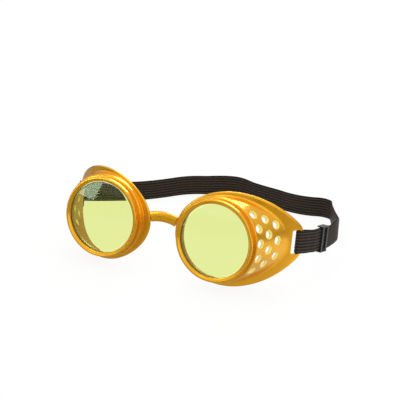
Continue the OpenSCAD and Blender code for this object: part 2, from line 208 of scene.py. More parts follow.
def lens_disc(name, node, side):
    """A disc with a rounded edge: rings of growing radius on the front, down over the edge
    and back to the centre behind, with a fan of triangles at each pole."""
    front, back = lens_front, lens_front + lens_thickness
    edge = [(lens_radius - lens_edge, front), (lens_radius, front + lens_edge),
            (lens_radius, back - lens_edge), (lens_radius - lens_edge, back)]
    radii = np.linspace(0.1, 1, lens_rings + 1)[:-1] * (lens_radius - lens_edge)
    outline = ([(r, front) for r in radii] + edge + [(r, back) for r in radii[::-1]])
    segments = lens_segments
    angle = np.linspace(0, 2 * np.pi, segments, endpoint=False)
    radius, depth = np.array(outline).T
    rows = len(outline)
    points = np.stack([radius[:, None] * np.cos(angle), depth[:, None] + 0 * angle,
                       radius[:, None] * np.sin(angle)], -1).reshape(-1, 3)
    points = np.concatenate([points, [[0, front, 0], [0, back, 0]]])
    quads = ring_faces(rows, segments)[:(rows - 1) * segments]
    j = np.arange(segments)
    cap = np.stack([np.full(segments, rows * segments), (j + 1) % segments, j], -1)
    last = (rows - 1) * segments
    base = np.stack([np.full(segments, rows * segments + 1), last + j,
                     last + (j + 1) % segments], -1)
    faces = [quads, cap, base]
    if side > 0:
        faces = [f[:, ::-1] for f in faces]
    piece = add_piece(name, to_frame(points, side), faces, clear_lens)
    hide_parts(node)
    return piece


for side, word in ((1, "left"), (-1, "right")):
    disc = lens_disc(word + "_lens_disc", word + "_lens", side)
    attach(disc, word + "_lens_unit")

# Lens seals
# A soft amber-brown silicone ring of square section behind each lens, pressed on the shelf
# of the spigot when the retaining ring is screwed home.
seal_width = 1.2
seal_thickness = 0.8
seal_corner = 0.2
seal_front = lens_front + lens_thickness


def ramp(tree, value, *stops):
    """The colour at that value on a ramp, from stops of a place and a colour, in order."""
    node = add_node(tree, "ShaderNodeValToRGB", Fac=value)
    points = node.color_ramp.elements
    for i, (place, colour) in enumerate(stops):
        point = points[i] if i < 2 else points.new(place)
        point.position = place
        point.color = (*colour, 1)
    return node.outputs["Color"]


seal_rubber, tree, shader = new_material("seal_rubber", Roughness=0.7)
place = add_node(tree, "ShaderNodeTexCoord")
talc = add_node(tree, "ShaderNodeTexNoise", Scale=900.0, Detail=4.0,
                Vector=place.outputs["Object"])
feed(tree, shader.inputs["Base Color"],
     ramp(tree, talc.outputs["Fac"], (0.0, (0.36, 0.18, 0.01)), (1.0, (0.5, 0.26, 0.02))))
for side, word in ((1, "left"), (-1, "right")):
    section = rounded([(lens_radius, seal_front), (lens_radius, seal_front + seal_thickness),
                       (lens_radius - seal_width, seal_front + seal_thickness),
                       (lens_radius - seal_width, seal_front)], seal_corner)
    points, faces = turned(section, side)
    seal = add_piece(word + "_seal_ring", points, [faces], seal_rubber)
    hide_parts(word + "_lens_seal")
    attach(seal, word + "_lens_unit")


# Retaining rings
# One moulded ring screws on each spigot and holds the lens: a steep inner bevel down to the
# lens, a rounded front edge, and a plain outside for the fingers. Like the cups it has a
# glossy metallic gold paint, a flake layer under clear lacquer.
ring_lip_radius = 24.0
ring_bevel_radius = 25.5
ring_radius = 26.8
ring_bore = 26.0
ring_height = 4.5
ring_lip = 1.4
ring_lip_height = 0.3
ring_bevel_foot = (0.5, 0.4)
ring_front_edge = 0.45
ring_corner = 0.22
ring_segments = 256
flake_low, flake_high = 0.42, 0.55


def combine(tree, operation, first, second):
    """One step of arithmetic on two values, each a number or a node's output."""
    node = add_node(tree, "ShaderNodeMath", operation=operation)
    feed(tree, node.inputs[0], first)
    feed(tree, node.inputs[1], second)
    return node.outputs[0]


def mixed(tree, share, first, second):
    """Two colours mixed: the first where the share is 0 and the second where it is 1."""
    node = add_node(tree, "ShaderNodeMix", data_type="RGBA", Factor=share)
    feed(tree, node.inputs[6], first)
    feed(tree, node.inputs[7], second)
    return node.outputs[2]


def fine_grain_group():
    """Fine mottling for moulded and painted plastic: the coarser of two noises gives a mask
    between Low and High, and the sum of the two a height."""
    group = bpy.data.node_groups.new("fine_grain", "ShaderNodeTree")
    face = group.interface
    for name, value in (("Scale", 400.0), ("Low", 0.0), ("High", 1.0)):
        socket = face.new_socket(name, in_out="INPUT", socket_type="NodeSocketFloat")
        socket.default_value = value
    for name in ("Mask", "Height"):
        face.new_socket(name, in_out="OUTPUT", socket_type="NodeSocketFloat")
    start = group.nodes.new("NodeGroupInput")
    end = group.nodes.new("NodeGroupOutput")
    place = add_node(group, "ShaderNodeTexCoord").outputs["Object"]
    scale = start.outputs["Scale"]
    coarse = add_node(group, "ShaderNodeTexNoise", Detail=3.0, Scale=scale, Vector=place)
    fine = add_node(group, "ShaderNodeTexNoise", Detail=2.0, Vector=place,
                    Scale=combine(group, "MULTIPLY", scale, 5.0))
    feed(group, end.inputs["Mask"], remap(group, coarse.outputs["Fac"], 0.3, 0.7,
                                          start.outputs["Low"], start.outputs["High"]))
    feed(group, end.inputs["Height"],
         combine(group, "ADD", coarse.outputs["Fac"], fine.outputs["Fac"]))
    return group


fine_grain = fine_grain_group()


def grain(tree, scale, low, high):
    """A fine_grain node in that material, with its own scale and range."""
    return add_node(tree, "ShaderNodeGroup", node_tree=fine_grain, Scale=scale, Low=low,
                    High=high)


def add_bump(tree, shader, height, distance, strength):
    """A bump of that height in metres on the shader's normal."""
    bump = add_node(tree, "ShaderNodeBump", Height=height, Distance=distance,
                    Strength=strength)
    feed(tree, shader.inputs["Normal"], bump.outputs["Normal"])


gold_paint, tree, shader = new_material(
    "gold_paint", Specular_IOR_Level=0.3, Coat_Weight=0.4, Coat_Roughness=0.06)
flake = grain(tree, 3200.0, 0.0, 1.0)
paint = ramp(tree, flake.outputs["Mask"],
             (flake_low, (0.9, 0.37, 0.001)), (flake_high, (0.98, 0.52, 0.02)))
# Painted shade and light on the cups: the hollow turns a dull orange-brown and the vent walls a
# pale lemon, both without the metal.
zone = add_node(tree, "ShaderNodeAttribute", attribute_name="painted_shade_glow")
shade_glow_colour = ramp(tree, zone.outputs["Fac"], (0.5, (0.6, 0.31, 0.004)), (1.0, (1.0, 0.82, 0.2)))
in_shade_glow = remap(tree, zone.outputs["Fac"], 0.0, 0.4, 0.0, 1.0)
feed(tree, shader.inputs["Base Color"], mixed(tree, in_shade_glow, paint, shade_glow_colour))
feed(tree, shader.inputs["Metallic"], remap(tree, in_shade_glow, 0.0, 1.0, 0.92, 0.0))
feed(tree, shader.inputs["Roughness"],
     remap(tree, flake.outputs["Mask"], flake_low, flake_high, 0.4, 0.12))
add_bump(tree, shader, flake.outputs["Height"], 0.000005, 0.2)
for side, word in ((1, "left"), (-1, "right")):
    section = rounded([(ring_lip_radius, ring_lip),
                       (ring_lip_radius, ring_lip - ring_lip_height),
                       (ring_lip_radius + ring_bevel_foot[0], ring_lip - ring_bevel_foot[1]),
                       (ring_bevel_radius, 0.0), (ring_radius - ring_front_edge, 0.0),
                       (ring_radius, ring_front_edge), (ring_radius, ring_height),
                       (ring_bore, ring_height), (ring_bore, ring_lip)], ring_corner)
    points, faces = turned(section, side, ring_segments)
    ring = add_piece(word + "_ring", points, [faces], gold_paint)
    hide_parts(word + "_retaining_ring")
    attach(ring, word + "_ring")

# Eyecups
# Each cup is one plastic moulding, painted gold outside: spigot and collar at
# the lens, a flared wall with twelve conical vents on the temple side, and a bent flange that
# lies on the face, with the strap's slot at its end. Inside, the hollow gets a dull
# orange-brown of painted shade and the vent walls a pale lemon of painted light, both without
# the metal.
spigot_front = 1.6
spigot_bore = 25.15
spigot_radius = 25.9
shelf_front = 4.35
shelf_back = 6.25
shelf_bore = 23.8
collar_front = 4.9
collar_back = 7.4
collar_radius = 28.2
wall_thickness = 1.8
wall_radius = 27.6
wall_pivot = 6.0
wall_tilt = math.radians(10.8)
wall_flare = math.radians(4.9)
flange_thickness = 1.8
face_radius = 73.0
face_vertex_u = -20.2
flange_front = 9.4
face_axis_d = flange_front + face_radius
outline_radius = 41.5
outline_u = 5.8
outline_w = 10.3
nose_reach = 32.5
nose_radius = 42.0
tab_reach = 43.2
end_bar_width = 4.1
slot_width = 5.4
slot_height = 15.6
slot_corner = 1.0
vent_mouth = 3.1
vent_throat = 1.9
vent_rows = ((8.0, 5), (16.5, 4), (25.0, 3))
vent_pitch = 20.0
vent_middle = 5.0
tip_angle = math.asin((tab_reach - face_vertex_u) / face_radius)
bar_edge_angle = tip_angle - end_bar_width / face_radius
slot_angle = bar_edge_angle - slot_width / 2 / face_radius
shelf_overlap = 1.0
outline_corner = 3.0
tab_corner = 2.5
flange_edge = 1.1
moulding_fillet = 1.0
collar_edge = 0.5
hollow_edge = 0.6
vent_edge = 0.3
vent_cut = 4.8
vent_zone = 4.0
vent_zone_u = 5.0
far_away = 9.0
cup_low = (-34.5, 0.56, -32.6)
cup_high = (45.2, 48.5, 32.6)
cup_step = 0.46


def soft_min(a, b, blend):
    """The smaller of two distances, blended where they are within blend of each other, so
    that the meeting edge becomes a fillet."""
    h = np.clip(0.5 + 0.5 * (b - a) / blend, 0, 1)
    return b * (1 - h) + a * h - blend * h * (1 - h)


def soft_max(a, b, blend):
    """The larger of two distances, blended in the same way: a rounded outer edge."""
    return -soft_min(-a, -b, blend)


def wall_axes(points):
    """Cup points measured from the flared wall's own axis, which is tilted: e square to it
    towards the temple, and s along it from the pivot."""
    u, back = points[..., 0], points[..., 1] - wall_pivot
    sin, cos = math.sin(wall_tilt), math.cos(wall_tilt)
    return u * cos - back * sin, u * sin + back * cos


def wall_distance(points):
    """Distance to the outside of the flared wall, a cone about the tilted axis."""
    e, s = wall_axes(points)
    beyond = np.hypot(e, points[..., 2]) - wall_radius - s * math.tan(wall_flare)
    return beyond * math.cos(wall_flare)


def vent_distance(points):
    """Distance to the nearest vent's cone, negative inside it. Each cone is square to the
    wall: its radius shrinks evenly from the mouth to the throat."""
    e, s = wall_axes(points)
    w = points[..., 2]
    slope = (vent_mouth - vent_throat) / wall_thickness
    nearest = np.full(s.shape, far_away)
    for row_place, count in vent_rows:
        row_radius = wall_radius + row_place * math.tan(wall_flare)
        for i in range(count):
            angle = math.radians(vent_middle + (i - (count - 1) / 2) * vent_pitch)
            outward = np.array([math.cos(wall_flare) * math.cos(angle), -math.sin(wall_flare),
                                math.cos(wall_flare) * math.sin(angle)])
            mouth = np.array([row_radius * math.cos(angle), row_place,
                              row_radius * math.sin(angle)])
            de, ds, dw = e - mouth[0], s - mouth[1], w - mouth[2]
            along = de * outward[0] + ds * outward[1] + dw * outward[2]
            off = np.sqrt(np.maximum(de ** 2 + ds ** 2 + dw ** 2 - along ** 2, 0))
            cone = (off - vent_mouth - slope * along) / math.hypot(1, slope)
            ends = np.abs(along + wall_thickness / 2) - vent_cut / 2
            nearest = np.minimum(nearest, np.maximum(cone, ends))
    return nearest


def hollow_distance(points):
    """Distance to the cup's hollow, negative inside it: the space in the flared wall, the
    lens's seat in the spigot, and the bore of the shelf between them."""
    u, d, w = points[..., 0], points[..., 1], points[..., 2]
    cone = wall_distance(points)
    axis_radius = np.hypot(u, w)
    hollow = np.maximum(cone + wall_thickness * math.cos(wall_flare), shelf_back - d)
    hollow = np.minimum(hollow, np.maximum(axis_radius - spigot_bore, d - shelf_front))
    return np.minimum(hollow, np.maximum(axis_radius - shelf_bore,
                                         d - shelf_back - shelf_overlap))


def eyecup_distance(points):
    """Signed distance to the eyecup's surface in mm, negative inside the plastic: wall and
    collar about their axes, the flange between two upright cylinders, less the hollows."""
    u, d, w = points[..., 0], points[..., 1], points[..., 2]
    cone = wall_distance(points)
    bend = np.hypot(u - face_vertex_u, d - face_axis_d)
    front = bend - face_radius - flange_thickness / 2
    rear = face_radius - flange_thickness / 2 - bend
    outline = np.hypot(u - outline_u, w + outline_w) - outline_radius
    outline = soft_max(outline, np.hypot(u - outline_u, w - outline_w) - outline_radius,
                       outline_corner)
    outline = soft_max(outline, np.hypot(u - nose_radius + nose_reach, w) - nose_radius,
                       outline_corner)
    outline = soft_max(outline, u - tab_reach, tab_corner)
    axis_radius = np.hypot(u, w)
    wall = np.maximum(cone, shelf_front - d)
    plate = soft_max(front, outline, flange_edge)
    solid = soft_min(wall, plate, moulding_fillet)
    collar = soft_max(axis_radius - collar_radius, collar_front - d, collar_edge)
    collar = soft_max(collar, d - collar_back, collar_edge)
    solid = soft_min(solid, collar, moulding_fillet)
    spigot = np.maximum(np.maximum(axis_radius - spigot_radius, spigot_front - d),
                        d - shelf_back)
    solid = np.minimum(solid, spigot)
    solid = soft_max(solid, rear, flange_edge)
    arc = (np.arctan2(u - face_vertex_u, face_axis_d - d) - slot_angle) * face_radius
    qa = np.abs(arc) - slot_width / 2 + slot_corner
    qw = np.abs(w) - slot_height / 2 + slot_corner
    slot = (np.hypot(np.maximum(qa, 0), np.maximum(qw, 0)) - slot_corner
            + np.minimum(np.maximum(qa, qw), 0))
    solid = soft_max(solid, -hollow_distance(points), hollow_edge)
    solid = soft_max(solid, -slot, hollow_edge)
    near = (np.abs(cone) < vent_zone) & (u > vent_zone_u)
    vents = np.full(u.shape, far_away)
    vents[near] = vent_distance(points[near])
    return soft_max(solid, -vents, vent_edge)


def skin(distance, low, high, step):
    """The zero surface of a distance function as quads: each grid cell that the surface
    crosses gets one point, the mean of its edge crossings, which then moves along the
    gradient onto the surface; each crossed grid edge joins its four cells by a quad."""
    axes = [np.arange(a, b + step, step) for a, b in zip(low, high)]
    grid = np.stack(np.meshgrid(*axes, indexing="ij"), -1)
    value = distance(grid)
    inside = value < 0
    n = value.shape
    corner = [(i, j, k) for i in (0, 1) for j in (0, 1) for k in (0, 1)]
    count = sum(inside[c[0]:n[0] - 1 + c[0], c[1]:n[1] - 1 + c[1], c[2]:n[2] - 1 + c[2]]
                .astype(np.int8) for c in corner)
    cells = np.argwhere((count > 0) & (count < 8))
    number = np.full([m - 1 for m in n], -1, np.int64)
    number[tuple(cells.T)] = np.arange(len(cells))
    total = np.zeros((len(cells), 3))
    hits = np.zeros(len(cells))
    for axis in range(3):
        for c in corner:
            if c[axis]:
                continue
            a = cells + c
            b = a.copy()
            b[:, axis] += 1
            va, vb = value[tuple(a.T)], value[tuple(b.T)]
            crosses = (va < 0) != (vb < 0)
            share = np.where(crosses, va / np.where(crosses, va - vb, 1), 0)
            point = a.astype(float)
            point[:, axis] += share
            total += point * crosses[:, None]
            hits += crosses
    points = np.array(low) + total / hits[:, None] * step
    nudge = step * 0.1
    least_slope = 0.2

    def gradient(at):
        """The distance's slope along each axis, from two points a small nudge apart."""
        return np.stack([(distance(at + np.eye(3)[i] * nudge)
                          - distance(at - np.eye(3)[i] * nudge)) / (2 * nudge)
                         for i in range(3)], -1)

    for _ in range(3):
        g = gradient(points)
        size = np.maximum((g ** 2).sum(-1), least_slope)
        move = distance(points)[:, None] * g / size[:, None]
        points = points - np.clip(move, -step / 2, step / 2)
    quads = []
    for axis in range(3):
        first = [slice(0, n[i] - 1) if i == axis else slice(1, n[i] - 1) for i in range(3)]
        second = [slice(1, n[i]) if i == axis else slice(1, n[i] - 1) for i in range(3)]
        a, b = inside[tuple(first)], inside[tuple(second)]
        for sign, crossed in ((1, a & ~b), (-1, ~a & b)):
            at = np.argwhere(crossed)
            at[:, [i for i in range(3) if i != axis]] += 1
            p, q = [(1, 2), (2, 0), (0, 1)][axis]
            step_p, step_q = np.eye(3, dtype=int)[p], np.eye(3, dtype=int)[q]
            ring = [at - step_p - step_q, at - step_q, at, at - step_p]
            ids = np.stack([number[tuple(r.T)] for r in ring], -1)
            quads.append(ids if sign > 0 else ids[:, ::-1])
    normals = gradient(points)
    normals /= np.maximum(np.linalg.norm(normals, axis=1), 1e-9)[:, None]
    return points, np.concatenate(quads), normals


def shade_and_glow_share(points):
    """Where painted light and shade go on the cup: 1 on the vent walls for a painted lemon
    glow, a half in the hollow for painted shade, 0 on the gold outside, each out to a little
    beyond its own surface."""
    hollow_reach, vent_reach = 0.25, 0.12
    hollow = 0.5 * (hollow_distance(points) < hollow_reach)
    return np.maximum(hollow, 1.0 * (vent_distance(points) < vent_reach))


cup_points, cup_quads, cup_normals = skin(eyecup_distance, cup_low, cup_high, cup_step)
for side, word in ((1, "left"), (-1, "right")):
    normals = to_frame(cup_normals, side) - to_frame(np.zeros(3), side)
    normals /= np.linalg.norm(normals, axis=1)[:, None]
    faces = cup_quads if side < 0 else cup_quads[:, ::-1]
    cup = add_piece(word + "_cup", to_frame(cup_points, side), [faces[:, ::-1]],
                    gold_paint, normals)
    # Each cup point gets its share of painted shade in the hollow and painted glow on the vent
    # walls.
    shade_glow_layer = cup.data.attributes.new("painted_shade_glow", "FLOAT", "POINT")
    shade_glow_layer.data.foreach_set("value", shade_and_glow_share(cup_points).astype(np.float32))
    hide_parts(word + "_eyecup")
    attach(cup, "frame")

# Nose bridge
# A springy arched band of the same gold-painted plastic, moulded in one with the two
# flanges that it joins, with rounded edges and a slightly crowned front.
bridge_height = 6.7
bridge_thickness = 2.0
bridge_w = 5.0
bridge_rise = 1.3
bridge_overlap = 0.5
bridge_crown = 0.08
bridge_corners = np.array([0.6, 0.5, 0.5, 0.6, 2.2])
bridge_rows = 49
half_gap = lens_spacing / 2 - nose_reach
arch_radius = (half_gap ** 2 + bridge_rise ** 2) / (2 * bridge_rise)
arch_middle_w = bridge_w + bridge_rise - arch_radius
bridge_d = face_axis_d - math.sqrt(face_radius ** 2 - (nose_reach + face_vertex_u) ** 2)
half_thickness, half_height = bridge_thickness / 2, bridge_height / 2
section = rounded([(bridge_crown - half_thickness, -half_height),
                   (half_thickness, -half_height), (half_thickness, half_height),
                   (bridge_crown - half_thickness, half_height),
                   (-bridge_crown - half_thickness, 0.0)], bridge_corners)
span_angle = math.asin((half_gap + bridge_overlap) / arch_radius)
sweep = np.linspace(-span_angle, span_angle, bridge_rows)[:, None]
radius = arch_radius + section[None, :, 1]
x = radius * np.sin(sweep)
w = arch_middle_w + radius * np.cos(sweep)
d = bridge_d + section[None, :, 0] + 0 * sweep
middle = np.array([0.0, cup_origin[1], cup_origin[2]])
points = (middle + d[..., None] * MM * goggles_back + w[..., None] * MM * goggles_up
          + x[..., None] * MM * np.array([1.0, 0, 0])).reshape(-1, 3)
columns = len(section)
last_row = (bridge_rows - 1) * columns
quads = ring_faces(bridge_rows, columns)[:last_row]
ends = np.stack([np.arange(columns)[::-1], last_row + np.arange(columns)])
bridge = add_piece("bridge_band", points, [quads, ends], gold_paint)
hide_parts("nose_bridge")
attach(bridge, "frame")

# Head strap
# One piece of flat ribbed elastic webbing. From its loose cut end it runs through the slider,
# round the left end bar, back through the slider, round the head and the right end bar, and
# its far end is sewn down. Points are millimetres before the goggles are set on the table.
strap_width = 15.0
strap_thickness = 1.1
layer_gap = 0.2
wrap_gap = 0.3
tail_length = 44.0
sewn_length = 18.0
rib_pitch = 2.0
rib_height = 0.11
tail_rise = 3.8
tail_held = 28.0
wrap_points = 13
lean_kept = 34.0
lean_fades = 40.0
layers_close = 7.0
layers_swap = 12.0
line_steps = 7
table_drop = np.array([0.0, cup_origin[1], cup_origin[2]]) / MM


def tipped(u, d, side):
    """A point of the bent flange's middle line, in the leaning goggles' frame."""
    flat = np.array([side * (lens_spacing / 2 + u), 0.0, 0.0])
    return flat + d * goggles_back


def bar_point(angle, side):
    """Where the end bar's middle surface is at that angle about the flange's axis."""
    return tipped(face_vertex_u + face_radius * math.sin(angle),
                  face_axis_d - face_radius * math.cos(angle), side)


bar_angle = (tip_angle + bar_edge_angle) / 2
bar = bar_point(bar_angle, 1)
flat_z = strap_width / 2 - table_drop[2]


def drop(points, anchor_x, side):
    """Strap points given as (x, y, share of the drop to the table) from a bar or the middle."""
    points = np.asarray(points, float)
    return np.stack([anchor_x + side * points[:, 0], bar[1] + points[:, 1],
                     bar[2] + points[:, 2] * (flat_z - bar[2])], -1)


run_start = np.array([5.3, 8.5, 0.107])
run_course = np.array([0.17, 1.0, 0.0126])
run_marks = np.array([0.0, 3.0, 10.5, 18.0, 21.0])
left_points = [(9.6, 38.5, 0.44), (7.8, 47.5, 0.53), (3, 57.5, 0.65), (-2.7, 68.5, 0.79),
               (-8.2, 79.5, 0.92), (-12.2, 87.5, 0.99), (-15, 92.8, 1), (-22, 94.6, 1)]
back_points = [(53, 92.5, 1), (45, 91.6, 1), (36, 92.2, 1), (26, 94.4, 1), (15, 96.3, 1),
               (5, 98.6, 1), (-2, 101.5, 1), (-9, 103.1, 1), (-16, 102.2, 1),
               (-24, 98.9, 1), (-32, 94.2, 1), (-40, 90.4, 1), (-48, 84.6, 1)]
right_points = [(-26, 74.2, 1), (-18, 66, 0.99), (-10, 57.2, 0.94), (-2.4, 48.3, 0.83),
                (4.3, 39.5, 0.71), (9.4, 31, 0.57), (12.2, 22.5, 0.4), (10.8, 15, 0.24),
                (5.3, 8.5, 0.107)]
knots = np.concatenate([
    [bar_point(bar_edge_angle, 1), bar, bar_point(tip_angle, 1)],
    drop(run_start + run_marks[:, None] * run_course, bar[0], 1),
    drop(left_points, bar[0], 1), drop(back_points, 0.0, 1), drop(right_points, -bar[0], -1),
    [bar_point(tip_angle, -1), bar_point(bar_angle, -1), bar_point(bar_edge_angle, -1)]])


def smooth_line(knots, steps):
    """A Catmull-Rom curve through the knots with that many steps from each to the next."""
    padded = np.concatenate([knots[:1], knots, knots[-1:]])
    a, b, c, d = (padded[i:len(padded) - 3 + i, None] for i in range(4))
    t = (np.arange(steps) / steps)[None, :, None]
    line = 0.5 * (2 * b + (c - a) * t + (2 * a - 5 * b + 4 * c - d) * t ** 2
                  + (3 * b - a - 3 * c + d) * t ** 3)
    return np.concatenate([line.reshape(-1, 3), knots[-1:]])


def unit(v):
    """Vectors scaled to length one."""
    return v / np.linalg.norm(v, axis=-1, keepdims=True)


def heading(line):
    """Direction of a line at each point, from its neighbours."""
    padded = np.concatenate([line[:1], line, line[-1:]])
    return unit(padded[2:] - padded[:-2])


def ease(t):
    """A smooth step from 0 to 1."""
    t = np.clip(t, 0, 1)
    return t * t * (3 - 2 * t)


middle_line = smooth_line(knots, line_steps)
middle_line[:, 2] = np.maximum(middle_line[:, 2], flat_z)
from_left = np.concatenate([[0], np.cumsum(np.linalg.norm(np.diff(middle_line, axis=0),
                                                           axis=1))])
from_right = from_left[-1] - from_left
strap_lean = lean * (1 - ease((np.minimum(from_left, from_right) - lean_kept) / lean_fades))
upright = np.stack([0 * strap_lean, np.sin(strap_lean), np.cos(strap_lean)], -1)
outwards = unit(np.cross(heading(middle_line), upright))
layer_offset = (strap_thickness + layer_gap) / 2
bar_offset = flange_thickness / 2 + wrap_gap + strap_thickness / 2


def layer_at(s):
    """Distance of a layer from the middle line: wide at the bar, close behind it."""
    return bar_offset + (layer_offset - bar_offset) * ease((s - end_bar_width) / layers_close)


main_offset = (
    layer_at(from_right) * (1 - ease((from_right - sewn_length) / layers_swap))
    - layer_at(from_left) * (1 - ease((from_left - tail_length) / layers_swap)))
main_layer = middle_line + main_offset[:, None] * outwards


def wrapped(side):
    """The half turn round an end bar, from the outer layer to the inner one."""
    a = np.linspace(0, np.pi, wrap_points + 2)[1:-1, None]
    sin, cos = math.sin(bar_angle), math.cos(bar_angle)
    along = np.array([side * cos, 0, 0]) + sin * goggles_back
    off = np.array([side * sin, 0, 0]) - cos * goggles_back
    return bar_point(bar_edge_angle, side) + bar_offset * (np.cos(a) * off - np.sin(a) * along)


tail = np.where(from_left <= tail_length)[0][::-1]
sewn = np.where(from_right <= sewn_length)[0][::-1]
tail_layer = middle_line[tail] + layer_at(from_left[tail])[:, None] * outwards[tail]
tail_end = (from_left[tail] - tail_held) / (tail_length - tail_held + 2)
tail_layer[:, 2] += tail_rise * ease(tail_end)
sewn_layer = middle_line[sewn] - layer_at(from_right[sewn])[:, None] * outwards[sewn]
strap_line = np.concatenate([tail_layer, wrapped(1), main_layer, wrapped(-1), sewn_layer])
wrap_lean = np.full(wrap_points, lean)
line_lean = np.concatenate([strap_lean[tail], wrap_lean, strap_lean, wrap_lean,
                            strap_lean[sewn]])


def webbing(name, line, line_lean, material):
    """A flat band along a line: its section is a thin rounded rectangle whose two faces carry
    fine ribs, and it is carried square to the line. UV holds millimetres along and across."""
    side_count, edge_power, edge_share = 78, 30, 0.35
    across = np.linspace(-1, 1, side_count) * strap_width / 2
    edge = (1 - np.abs(2 * across / strap_width) ** edge_power) ** 0.5
    ribs = rib_height * np.cos(2 * np.pi * across / rib_pitch) * edge
    half = (strap_thickness / 2 - rib_height) * (edge_share + (1 - edge_share) * edge) + ribs
    section = np.concatenate([np.stack([across, half], -1),
                              np.stack([across[::-1], -half[::-1]], -1)])
    t = heading(line)
    up = np.stack([0 * line_lean, np.sin(line_lean), np.cos(line_lean)], -1)
    up = unit(up - (up * t).sum(-1, keepdims=True) * t)
    off = unit(np.cross(t, up))
    points = (line[:, None] + section[None, :, :1] * up[:, None]
              + section[None, :, 1:] * off[:, None])
    points = (points + table_drop) * MM
    rows, columns = len(line), len(section)
    quads = ring_faces(rows, columns)[:(rows - 1) * columns]
    j = np.arange(side_count - 1)
    cap = np.stack([j, j + 1, columns - 2 - j, columns - 1 - j], -1)
    faces = [quads[:, ::-1], cap, (cap + (rows - 1) * columns)[:, ::-1]]
    piece = add_piece(name, points.reshape(-1, 3), faces, material)
    length = np.concatenate([[0], np.cumsum(np.linalg.norm(np.diff(line, axis=0), axis=1))])
    flat = np.stack([np.broadcast_to(length[:, None], (rows, columns)),
                     np.broadcast_to(section[None, :, 0], (rows, columns))], -1).reshape(-1, 2)
    layer = piece.data.uv_layers.new(name="webbing")
    corners = np.empty(len(piece.data.loops), np.int32)
    piece.data.loops.foreach_get("vertex_index", corners)
    layer.data.foreach_set("uv", flat[corners].astype(np.float32).ravel())
    return piece


elastic, tree, shader = new_material(
    "elastic_webbing", Roughness=0.5, Specular_IOR_Level=0.12, Sheen_Weight=0.06,
    Sheen_Roughness=0.5, Sheen_Tint=(0.6, 0.52, 0.45, 1))
place = add_node(tree, "ShaderNodeUVMap", uv_map="webbing").outputs["UV"]
knit = add_node(tree, "ShaderNodeTexWave", wave_type="BANDS", bands_direction="Y",
                Scale=0.45, Distortion=0.6, Detail=2.0, Vector=place)
picks = add_node(tree, "ShaderNodeTexWave", wave_type="BANDS", bands_direction="X",
                 Scale=0.9, Distortion=1.5, Detail=1.0, Vector=place)
fuzz = add_node(tree, "ShaderNodeTexNoise", Scale=3.0, Detail=5.0, Vector=place)
loops = combine(tree, "MULTIPLY", knit.outputs["Fac"], picks.outputs["Fac"])
height = combine(tree, "ADD", loops, fuzz.outputs["Fac"])
# Painted highlight: the webbing's colour is lighter along the top of each rib, times the knit's
# height.
painted_rib_highlight = add_node(tree, "ShaderNodeTexWave", wave_type="BANDS", bands_direction="Y",
                    Scale=math.pi / 10 / rib_pitch, Phase_Offset=math.pi, Vector=place)
lit = combine(tree, "MULTIPLY", painted_rib_highlight.outputs["Fac"], height)
feed(tree, shader.inputs["Base Color"],
     ramp(tree, lit, (0.2, (0.012, 0.0085, 0.0055)), (1.0, (0.09, 0.069, 0.052))))
add_bump(tree, shader, height, 0.00012, 0.7)
strap = webbing("strap_webbing", strap_line, line_lean, elastic)
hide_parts("head_strap")
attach(strap, "frame")

# Strap stitching
# Two rows of black polyester thread through both layers of the sewn end: each stitch shows
# as a short raised bead on either face.
stitch_rows = (11.0, 15.0)
stitch_count = 6
stitch_radius = 0.3
stitch_proud = 0.2
stitch_share = 0.42
bead_rings, bead_sides = 7, 12
thread, tree, shader = new_material("stitching_thread", Roughness=0.55)
ply = grain(tree, 2500.0, 0.4, 0.7)
feed(tree, shader.inputs["Base Color"],
     ramp(tree, ply.outputs["Mask"], (0.0, (0.010, 0.009, 0.008)), (1.0, (0.05, 0.045, 0.04))))
pitch = strap_width / (stitch_count + 1)
lat = np.linspace(0, np.pi, bead_rings + 2)[1:-1]
lon = np.linspace(0, 2 * np.pi, bead_sides, endpoint=False)
ball = np.stack([np.sin(lat)[:, None] * np.cos(lon), np.sin(lat)[:, None] * np.sin(lon),
                 np.cos(lat)[:, None] + 0 * lon], -1).reshape(-1, 3)
ball = np.concatenate([ball, [[0, 0, 1], [0, 0, -1]]])
last_ring, pole = (bead_rings - 1) * bead_sides, bead_rings * bead_sides
ball_quads = ring_faces(bead_rings, bead_sides)[:last_ring]
k = np.arange(bead_sides)
after = (k + 1) % bead_sides
ball_caps = np.concatenate([np.stack([np.full(bead_sides, pole), after, k], -1),
                            np.stack([np.full(bead_sides, pole + 1), last_ring + k,
                                      last_ring + after], -1)])
points, quads, caps = [], [], []
for row in stitch_rows:
    i = int(np.where(from_right >= row)[0][-1])
    t = heading(middle_line)[i]
    up = unit(goggles_up - t * (t @ goggles_up))
    off = np.cross(t, up)
    for j in range(1, stitch_count + 1):
        for face in (-1, 1):
            at = (middle_line[i] + (j * pitch - strap_width / 2) * up
                  + face * (layer_offset + strap_thickness / 2) * off)
            start = len(points) * len(ball)
            points.append(at + ball[:, :1] * stitch_radius * t
                          + ball[:, 1:2] * stitch_proud * off
                          + ball[:, 2:] * pitch * stitch_share * up)
            quads.append(ball_quads + start)
            caps.append(ball_caps + start)
points = (np.concatenate(points) + table_drop) * MM
stitches = add_piece("seam_stitches", points, [np.concatenate(quads), np.concatenate(caps)],
                     thread)
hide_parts("strap_stitching")
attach(stitches, "frame")

# Strap slider
# A small glossy black moulded adjuster: two end rails, two bars in front of the strap and
# one behind it, which grip both layers.
slider_length = 7.5
slider_bar_width = 1.9
slider_bar_thickness = 1.0
rail_height = 1.0
slider_play = 0.2
slider_at = 19.0
slider_slot = 15.6
slider_edge = 0.35
slider_step = 0.3
slider_margin = 0.55
slider_inner = strap_thickness + layer_gap / 2 + slider_play
slider_depth = 2 * (slider_inner + slider_bar_thickness)
slider_height = slider_slot + 2 * rail_height


def bar_distance(points, middle, size):
    """Signed distance to a box with rounded edges."""
    q = np.abs(points - np.array(middle)) - np.array(size) / 2 + slider_edge
    return (np.linalg.norm(np.maximum(q, 0), axis=-1)
            + np.minimum(q.max(-1), 0) - slider_edge)


